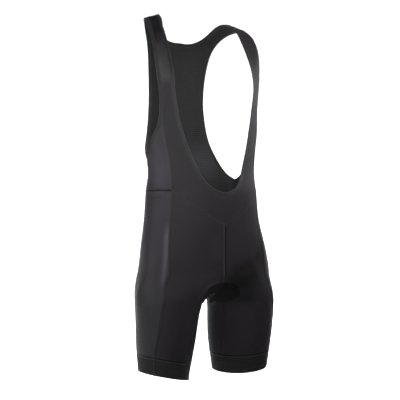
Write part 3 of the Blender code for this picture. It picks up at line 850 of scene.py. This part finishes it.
def band_profile(wall, ribs, depth):
    """Leg band: a turned hem below, level ribs, and a plain edge above for the seam."""
    low, high, steps = 0.09, 0.90, 6         # where the ribs begin and end, and the points across one
    # paleness: a painted highlight on the hem's crest, painted shade under the hem and in the rib grooves
    outer = [(0.0, 0.30, 0.0), (0.0, 0.75, 0.5), (0.015, 1.0, 1.0), (0.06, 1.0, 0.8), (0.08, 0.60, -2.4)]
    for n in range(ribs * steps + 1):
        part = n / steps
        groove = (0.5 + 0.5 * cos(2 * pi * part)) ** 2
        share = low + (high - low) * part / ribs
        outer.append((share, 1.0 - groove * depth / (wall / 2), 0.5 - 2.6 * groove))
    outer += [(0.95, 0.95, 0.0), (0.99, 0.90, 0.0), (1.0, 0.70, 0.0)]
    inner = [(1.0, -0.70, 0.0), (0.99, -0.90, 0.0)]
    inner += [(share, -1.0, 0.0) for share in (0.8, 0.6, 0.4, 0.2, 0.05, 0.015)]
    inner += [(0.0, -0.75, 0.0)]
    return [(share, rise * wall / 2, painted_light_and_wear) for share, rise, painted_light_and_wear in outer + inner]


def make_ring(node, slot, owner, profile, low_edge_first):
    """A binding or band as one closed ring. Returns the piece with its flat length and width."""
    shape_cloth()
    rows = rows_of_ring(cloth[node], low_edge_first)
    mesh, flat = swept_ring(node + "_trim", cloth[node], rows, profile)
    piece = link(node + "_trim", mesh, finish_of(slot))
    ride_along(piece, owner)
    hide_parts(node)
    return piece, flat


# ---- Seams ----


def shared_runs(one, two):
    """Lines along the seams between two sheets, as points with the way out of the cloth at each."""
    first, second = cloth[one], cloth[two]
    points, normals = read_points(first), read_normals(first)
    others, their_normals = read_points(second), read_normals(second)
    tree = point_tree([(others[v], v) for v in sorted(open_edges(second))])
    rim, close = open_edges(first), {}
    for v in rim:
        _, index, away = tree.find(points[v])
        if away < SEAM_WIDEST:
            close[v] = index
    near = {v: [w for w in rim[v] if w in close] for v in close}
    runs, left = [], set(close)
    while left:
        ends = [v for v in sorted(left) if len(left.intersection(near[v])) < 2]
        run = walk(near, left, ends[0] if ends else min(left))
        if len(run) >= SHORTEST_RUN:
            places = np.array([(points[v] + others[close[v]]) / 2 for v in run])
            outs = np.array([normals[v] + their_normals[close[v]] for v in run])
            runs.append((places, unit(outs)))
    return runs


def sideways_of(places, outs):
    """The way across a seam at each of its points."""
    return unit(np.cross(outs, np.gradient(places, axis=0)))


def turned(run, way):
    """The same run, in the order that makes its way across lean towards a direction."""
    places, outs = run
    if (sideways_of(places, outs) @ np.array(way, float)).sum() < 0:
        return places[::-1], outs[::-1]
    return run


def ridge_mesh(name, runs, profile, width, rise, wall):
    """The seam itself: a low strip with a cross-section of (share across, share of the rise, paleness:
    painted highlight or shade).
    """
    vertices, faces, cuts, tones = [], [], [], []
    sides = len(profile)
    levels = np.arange(sides + 1) * 0.001
    for places, outs in runs:
        base = len(vertices)
        for place, out, side in zip(places, outs, sideways_of(places, outs)):
            for share, up, painted_light_and_wear in profile:
                vertices.append(place + side * share * width + out * (wall / 2 + up * rise))
                tones.append(painted_light_and_wear)
        along = np.append(0.0, np.cumsum(lengths(np.diff(places, axis=0))))
        more_faces, more_cuts = sweep_faces(base, along, levels, False)
        last = base + (len(places) - 1) * sides
        faces += [*more_faces, tuple(range(base, base + sides)), tuple(range(last, last + sides))]
        cuts += more_cuts + [(0.0, 0.0)] * 2 * sides
    return cloth_mesh(name, vertices, faces, cuts, tones)


def seam_guide(name, runs, lift, shift, closed=False):
    """Bare lines along seams, raised to the cloth's face, that carry the way out for the stitches."""
    vertices, edges, ways = [], [], []
    for places, outs in runs:
        base, count = len(vertices), len(places)
        moved = places + outs * lift + sideways_of(places, outs) * shift
        vertices += [tuple(p) for p in moved]
        ways += [tuple(o) for o in outs]
        edges += [(base + n, base + (n + 1) % count) for n in range(count if closed else count - 1)]
    mesh = bpy.data.meshes.new(name)
    mesh.from_pydata(vertices, edges, [])
    attribute = mesh.attributes.new("way_out", "FLOAT_VECTOR", "POINT")
    attribute.data.foreach_set("vector", np.array(ways).ravel())
    return mesh


STITCH_SHOWN = 0.82      # share of a stitch's length that its thread shows
CROSSING_REACH = 1.12    # length of a crossing thread, in spacings between the rows
CROSSING_LEAN = radians(24)


def stitch_tree(name, crossed):
    """Geometry nodes that lay stitches along lines: two rows, and threads crossing over them."""
    tree = bpy.data.node_groups.new(name, "GeometryNodeTree")
    tree.is_modifier = True
    sockets = tree.interface
    sockets.new_socket("Seam", in_out="INPUT", socket_type="NodeSocketGeometry")
    for label in ("Stitch length", "Row spacing", "Thread"):
        sockets.new_socket(label, in_out="INPUT", socket_type="NodeSocketFloat")
    sockets.new_socket("Material", in_out="INPUT", socket_type="NodeSocketMaterial")
    sockets.new_socket("Stitches", in_out="OUTPUT", socket_type="NodeSocketGeometry")
    given = add(tree, "NodeGroupInput")
    seam, length, spacing, thread, material = (given.outputs[n] for n in range(5))
    curve = add(tree, "GeometryNodeMeshToCurve", (seam,))
    path = add(tree, "GeometryNodeResampleCurve", {"Curve": curve, "Length": length}, mode="LENGTH")
    radius = add(tree, "ShaderNodeMath", (thread, 0.5), operation="MULTIPLY")
    stitch = add(tree, "ShaderNodeMath", (length, STITCH_SHOWN), operation="MULTIPLY")
    join = add(tree, "GeometryNodeJoinGeometry")
    straight = add(tree, "GeometryNodeMeshCylinder", {"Vertices": 5, "Radius": radius, "Depth": stitch})
    for row in (-0.5, 0.5):
        shift = add(tree, "ShaderNodeMath", (spacing, row), operation="MULTIPLY")
        offset = add(tree, "ShaderNodeCombineXYZ", {1: shift})
        laid = add(tree, "GeometryNodeTransform", {"Geometry": straight, "Translation": offset,
                                                   "Rotation": (0.0, pi / 2, 0.0)})
        tree.links.new(laid.outputs[0], join.inputs[0])
    if crossed:
        over = add(tree, "ShaderNodeMath", (spacing, CROSSING_REACH), operation="MULTIPLY")
        lift = add(tree, "ShaderNodeMath", (thread, 0.3), operation="MULTIPLY")
        reach = add(tree, "GeometryNodeMeshCylinder", {"Vertices": 5, "Radius": radius, "Depth": over})
        for lean in (1, -1):
            beside = add(tree, "ShaderNodeMath", (length, lean * 0.25), operation="MULTIPLY")
            offset = add(tree, "ShaderNodeCombineXYZ", {0: beside, 2: lift})
            laid = add(tree, "GeometryNodeTransform", {"Geometry": reach, "Translation": offset,
                                                       "Rotation": (pi / 2, 0.0, lean * CROSSING_LEAN)})
            tree.links.new(laid.outputs[0], join.inputs[0])
    tangent = add(tree, "GeometryNodeInputTangent")
    run = add(tree, "FunctionNodeAlignRotationToVector", {"Vector": tangent}, axis="X")
    named = add(tree, "GeometryNodeInputNamedAttribute", {"Name": "way_out"}, data_type="FLOAT_VECTOR")
    turn = add(tree, "FunctionNodeAlignRotationToVector",
               {"Rotation": run, "Vector": named.outputs["Attribute"]}, axis="Z", pivot_axis="X")
    placed = add(tree, "GeometryNodeInstanceOnPoints", {"Points": path, "Instance": join, "Rotation": turn})
    real = add(tree, "GeometryNodeRealizeInstances", (placed,))
    smooth = add(tree, "GeometryNodeSetShadeSmooth", (real,))
    finish = add(tree, "GeometryNodeSetMaterial", {"Geometry": smooth, "Material": material})
    add(tree, "NodeGroupOutput", (finish,))
    return tree


def mirrored(half):
    """A section that is the same on both sides, from the half that starts in its middle."""
    return half + [(-share, rise, painted_light_and_wear) for share, rise, painted_light_and_wear in half[:0:-1]]


# Kinds of seam. section: (share of the width across, share of the rise, paleness, which is a painted
# highlight on the crests and painted shade in the grooves). crossed: its threads
# cross over it. spacing: between its two rows of thread, and shift: to one side, as shares of the width.
FLATLOCK = {
    "section": mirrored([(0.0, 0.35, -2.4), (0.17, 0.9, 1.2), (0.32, 1.0, 1.6), (0.42, 0.35, -2.0),
                         (0.50, 0.25, -2.4), (0.56, -0.3, -2.4), (0.3, -0.7, 0.0)]),
    "crossed": True, "spacing": 0.56, "shift": 0.0,
}
FELLED = {
    "section": [(-0.54, -0.3, -1.5), (-0.46, 0.25, -2.6), (-0.36, 0.3, -3.2), (-0.10, 0.3, -3.2),
                (-0.03, 0.8, -1.0), (0.06, 1.0, 1.0), (0.28, 1.0, 1.0), (0.40, 0.7, 0.6),
                (0.46, 0.25, -0.8), (0.54, -0.3, -1.0), (0.3, -0.7, 0.0), (-0.3, -0.7, 0.0)],
    "crossed": False, "spacing": 0.26, "shift": 0.16,
}
FLUSH = {
    # joined edge to edge, with no thread on its face
    "section": mirrored([(0.0, 0.3, 0.0), (0.42, 0.25, -0.3), (0.50, -0.3, -0.6), (0.3, -0.7, 0.0)]),
}
SHORTEST_RUN = 8         # points: a shorter meeting of two edges is a corner, not a seam
BAND_JOINT_WIDTH = 0.0050
STITCH_LIFT = 0.8        # share of a seam's rise that its thread is laid at
UP, DOWN, RIGHT = (0, 0, 1), (0, 0, -1), (-1, 0, 0)


def on_each_side(*pairs):
    """Pairs of nodes on the right and on the left, where * stands for the side."""
    return [tuple(node.replace("*", side) for node in pair) for side in SIDES for pair in pairs]


SEAMS = {
    # kind, width in metres, way that its raised side faces, panel whose cut it goes with, pairs of nodes
    "v_seam": (FLATLOCK, 0.0060, UP, "front_bib", on_each_side(("front_bib", "front_leg_*"))),
    "bib_side_seams": (FLATLOCK, 0.0050, RIGHT, "back_mesh", on_each_side(
        ("front_bib", "side_bib_*"), ("back_mesh", "side_bib_*"))),
    "strap_seams": (FLATLOCK, 0.0050, UP, "front_bib", [("front_bib", "back_mesh")]),
    "waist_seam": (FELLED, 0.0075, UP, "back_mesh", on_each_side(
        ("side_bib_*", "side_leg_*"), ("back_mesh", "back_leg_*"))),
    "side_seams_right": (FLATLOCK, 0.0060, RIGHT, "side_leg_right", [
        ("front_leg_right", "side_leg_right"), ("back_leg_right", "side_leg_right")]),
    "side_seams_left": (FLATLOCK, 0.0060, RIGHT, "side_leg_left", [
        ("front_leg_left", "side_leg_left"), ("back_leg_left", "side_leg_left")]),
    "middle_seams": (FELLED, 0.0095, RIGHT, "front_leg_left", [
        ("front_leg_right", "front_leg_left"), ("back_leg_right", "back_leg_left")]),
    "gusset_seams": (FLUSH, 0.0040, UP, "crotch_gusset", on_each_side(
        ("crotch_gusset", "front_leg_*"), ("crotch_gusset", "back_leg_*"))),
    "inseams": (FLUSH, 0.0045, RIGHT, "crotch_gusset", on_each_side(("front_leg_*", "back_leg_*"))),
    "band_seams": (FELLED, 0.0065, DOWN, "front_leg_left", on_each_side(
        ("leg_band_*", "front_leg_*"), ("leg_band_*", "side_leg_*"), ("leg_band_*", "back_leg_*"))),
}


def make_stitches(name, owner, guide, crossed, spacing):
    """Runs a stitch tree on guide lines, and keeps the plain mesh as a piece."""
    values = settings().seams
    label = "Crossed stitches" if crossed else "Twin stitches"
    tree = bpy.data.node_groups.get(label) or stitch_tree(label, crossed)
    holder = put(name + "_guide", guide)
    modifier = holder.modifiers.new("Stitches", "NODES")
    modifier.node_group = tree
    thread = finish_of("seam_thread")
    inputs = {"Stitch length": values.stitch, "Row spacing": spacing, "Thread": values.thread,
              "Material": thread}
    for item in tree.interface.items_tree:
        if item.item_type == "SOCKET" and item.in_out == "INPUT" and item.name in inputs:
            modifier[item.identifier] = inputs[item.name]
    mesh = evaluated(holder)
    holder.modifiers.clear()
    bpy.data.objects.remove(holder)
    ride_along(link(name + "_stitches", mesh, thread), owner)


def make_seam(name, owner, runs, kind, width, wall):
    """A seam as a tape on the cloth, with its stitches."""
    rise = settings().seams.rise
    slot = "warp_knit_nylon_elastane" if kind is FLUSH else "folded_elastic_binding"
    mesh = ridge_mesh(name + "_tape", runs, kind["section"], width, rise, wall)
    ride_along(link(name + "_tape", mesh, finish_of(slot)), owner)
    if kind is not FLUSH:
        guide = seam_guide(name, runs, wall / 2 + rise * STITCH_LIFT, kind["shift"] * width)
        make_stitches(name, owner, guide, kind["crossed"], kind["spacing"] * width)


def band_joint(band, front, side):
    """Line up a leg band under the seam between two panels of its leg."""
    places, _ = max(shared_runs(front, side), key=lambda run: len(run[0]))
    foot = min(places, key=lambda place: place[2])
    rows = np.array(rows_of_ring(cloth[band], True))
    points, outs = read_points(cloth[band]), read_normals(cloth[band])
    column = rows[:, lengths(points[rows[-1]] - foot).argmin()]
    return points[column], outs[column]


# ---- Floor, lights and camera ----

# Camera: degrees that it stands to the wearer's right of straight ahead, metres away and up, and mm of lens
CAMERA_TURN = 32.0
CAMERA_AWAY = 1.95
CAMERA_HEIGHT = -0.475
CAMERA_LENS = 71.64
CAMERA_SHIFT = (0.01225, 0.0375)

# Floor and wall in one sweep: the floor runs from near to far, and a curve turns it up to the wall's top
FLOOR_HEIGHT = -1.25
SWEEP_NEAR, SWEEP_FAR, SWEEP_CURVE, SWEEP_TOP, SWEEP_HALF = -6.0, 3.0, 1.5, 7.0, 8.0

# Softboxes around the garment. Degrees are counted from the camera's side, to its right.
SOFTBOXES = [
    # name, degrees, away, height, aim, size, power, grid (degrees that its honeycomb lets through)
    ("left_softbox", -58, 1.25, -0.30, -0.40, 0.5, 3.9, 180),
    ("low_softbox", -35, 1.25, -0.75, -0.45, 0.5, 0.75, 180),
    ("front_softbox", 5, 0.85, -0.22, -0.28, 0.4, 0.82, 80),
    ("right_softbox", 105, 0.85, 0.15, -0.20, 0.4, 0.80, 75),
    ("rim_softbox", 130, 0.85, -0.10, -0.20, 0.4, 0.22, 75),
]
# Lamps on the wall and floor behind, with places as the camera has them: to its right, ahead, up
BACKDROP_LAMPS = [
    # name, place, aim, size, power, grid
    ("backdrop_lamp_left", (-2.6, 3.3, 0.2), (0.3, 4.5, -0.80), (1.0, 2.6), 60.0, 110),
    ("backdrop_lamp_right", (2.6, 3.3, 0.2), (-0.3, 4.5, -0.80), (1.0, 2.6), 60.0, 110),
    ("floor_lamp", (0.0, 2.4, 1.2), (0.0, 2.4, FLOOR_HEIGHT), (3.2, 1.4), 60.0, 90),
]
FILL_LIGHT = 0.10        # strength of the even light from all round
MIDDLE = Vector((0.0, -0.03, 0.0))


def studio(right, ahead, up):
    """A place given as the camera has it: to its right, ahead and up from the garment's middle line."""
    turn = radians(CAMERA_TURN)
    return Vector((sin(turn) * ahead + cos(turn) * right, cos(turn) * ahead - sin(turn) * right, up))


def area_light(name, place, aim, size, power, grid):
    """A softbox that is itself out of the camera's sight."""
    lamp = bpy.data.lights.new(name, "AREA")
    lamp.shape = "RECTANGLE"
    lamp.size, lamp.size_y = size
    lamp.energy = power
    lamp.spread = radians(grid)
    holder = put(name, lamp)
    holder.location = place
    holder.rotation_euler = (aim - place).to_track_quat("-Z", "Y").to_euler()
    holder.visible_camera = False


def make_floor():
    """Matt white paper in one sweep of floor and wall, far enough that the wall stays even."""
    profile = [(SWEEP_NEAR, 0.0)]
    for degrees in range(0, 91, 10):
        turn = radians(degrees)
        profile.append((SWEEP_FAR + SWEEP_CURVE * sin(turn), SWEEP_CURVE * (1 - cos(turn))))
    profile.append((SWEEP_FAR + SWEEP_CURVE, SWEEP_TOP))
    edges = (-SWEEP_HALF, SWEEP_HALF)
    vertices = [studio(side, away, FLOOR_HEIGHT + up) for away, up in profile for side in edges]
    faces = [(2 * n, 2 * n + 1, 2 * n + 3, 2 * n + 2) for n in range(len(profile) - 1)]
    mesh = bpy.data.meshes.new("floor")
    mesh.from_pydata(vertices, [], faces)
    paper = bpy.data.materials.new("matt_paper_sweep")
    paper.use_nodes = True
    paper.node_tree.nodes.clear()
    shader = add(paper.node_tree, "ShaderNodeBsdfPrincipled",
                 {"Base Color": (*settings().colours.floor, 1.0), "Roughness": 0.9})
    add(paper.node_tree, "ShaderNodeOutputMaterial", (shader,))
    link("floor", mesh, paper)


def make_lights():
    """Even light from all round, the softboxes, and the lamps on the floor and wall."""
    world = bpy.data.worlds.new("soft_studio")
    world.use_nodes = True
    world.node_tree.nodes.clear()
    white = (1.0, 1.0, 1.0, 1.0)
    light = add(world.node_tree, "ShaderNodeBackground", {"Color": white, "Strength": FILL_LIGHT})
    add(world.node_tree, "ShaderNodeOutputWorld", (light,))
    bpy.context.scene.world = world
    for name, degrees, away, height, aim, size, power, grid in SOFTBOXES:
        turn = radians(degrees)
        place = MIDDLE + studio(sin(turn) * away, -cos(turn) * away, height)
        area_light(name, place, MIDDLE + Vector((0.0, 0.0, aim)), (size, size), power, grid)
    for name, place, aim, size, power, grid in BACKDROP_LAMPS:
        area_light(name, studio(*place), studio(*aim), size, power, grid)


def make_camera():
    """The camera, level and just below the waist seam's height, with a slightly shifted lens."""
    lens = bpy.data.cameras.new("camera")
    lens.lens = CAMERA_LENS
    lens.sensor_width = 36.0
    lens.shift_x, lens.shift_y = CAMERA_SHIFT
    camera = put("camera", lens)
    camera.location = studio(0.0, -CAMERA_AWAY, CAMERA_HEIGHT)
    camera.rotation_euler = studio(0.0, 1.0, 0.0).to_track_quat("-Z", "Y").to_euler()
    bpy.context.scene.camera = camera
    bpy.context.scene.view_settings.view_transform = "Standard"


# ---- Operators ----


class GARMENT_OT_panels(bpy.types.Operator):
    """Make the knit panels of the bib, the back and the legs, and the gusset"""
    bl_idname = "garment.panels"
    bl_label = "Knit panels"

    def execute(self, context):
        for node in PANELS:
            make_panel(node)
        return {"FINISHED"}


class GARMENT_OT_bindings(bpy.types.Operator):
    """Make the folded bindings of the neck and armholes"""
    bl_idname = "garment.bindings"
    bl_label = "Bindings"

    def execute(self, context):
        wall = settings().edges.binding_wall
        for node, owner in BINDINGS.items():
            _, (_, width) = make_ring(node, "folded_elastic_binding", owner, binding_profile(wall), False)
            rows = rows_of_ring(cloth[node], False)
            row = rows[round(THREAD_LINE * (len(rows) - 1))]
            run = read_points(cloth[node])[row], read_normals(cloth[node])[row]
            guide = seam_guide(node, [run], wall * THREAD_LIFT, 0.0, closed=True)
            make_stitches(node, owner, guide, False, width * THREAD_SPACING)
        return {"FINISHED"}


class GARMENT_OT_bands(bpy.types.Operator):
    """Make the ribbed leg bands"""
    bl_idname = "garment.bands"
    bl_label = "Leg bands"

    def execute(self, context):
        values = settings().edges
        profile = band_profile(values.band_wall, values.ribs, values.rib_depth)
        for node in BANDS:
            piece, (length, width) = make_ring(node, "ribbed_elastic_band", None, profile, True)
            declare_cut(length, width, length * width)
        return {"FINISHED"}


class GARMENT_OT_seams(bpy.types.Operator):
    """Make the flat seams between the panels and their stitches"""
    bl_idname = "garment.seams"
    bl_label = "Flat seams"

    def execute(self, context):
        panel_wall, band_wall = settings().cloth.panel_wall, settings().edges.band_wall
        for name, (kind, width, way, owner, pairs) in SEAMS.items():
            runs = [turned(run, way) for pair in pairs for run in shared_runs(*pair)]
            make_seam(name, owner, runs, kind, width, panel_wall)
        joints = [band_joint("leg_band_" + side, "front_leg_" + side, "side_leg_" + side) for side in SIDES]
        make_seam("band_joints", "back_leg_right", joints, FLATLOCK, BAND_JOINT_WIDTH, band_wall)
        return {"FINISHED"}


class GARMENT_OT_stage(bpy.types.Operator):
    """Make the floor, the lights and the camera"""
    bl_idname = "garment.stage"
    bl_label = "Stage"

    def execute(self, context):
        make_floor()
        make_lights()
        make_camera()
        return {"FINISHED"}


class GARMENT_PT_panel(bpy.types.Panel):
    """Lists the garment's settings and steps"""
    bl_idname = "GARMENT_PT_panel"
    bl_label = "Bib liner shorts"
    bl_space_type = "VIEW_3D"
    bl_region_type = "UI"
    bl_category = "Garment"

    def draw(self, context):
        values = context.scene.garment
        for part in (values.cloth, values.seams, values.edges, values.colours):
            box = self.layout.box()
            for name in part.__annotations__:
                box.prop(part, name)
        for step in STEPS:
            self.layout.operator(step.bl_idname)


STEPS = (GARMENT_OT_panels, GARMENT_OT_bindings, GARMENT_OT_bands, GARMENT_OT_seams, GARMENT_OT_stage)
GROUPS = (ClothSettings, SeamSettings, EdgeSettings, ColourSettings, GarmentSettings)
CLASSES = (*GROUPS, *STEPS, GARMENT_PT_panel)


def register():
    for each in CLASSES:
        bpy.utils.register_class(each)
    bpy.types.Scene.garment = PointerProperty(type=GarmentSettings)


def unregister():
    del bpy.types.Scene.garment
    for each in reversed(CLASSES):
        bpy.utils.unregister_class(each)


def main():
    register()
    bpy.ops.garment.bindings()
    bpy.ops.garment.bands()
    bpy.ops.garment.seams()
    bpy.ops.garment.panels()
    bpy.ops.garment.stage()


if __name__ == "__main__":
    main()
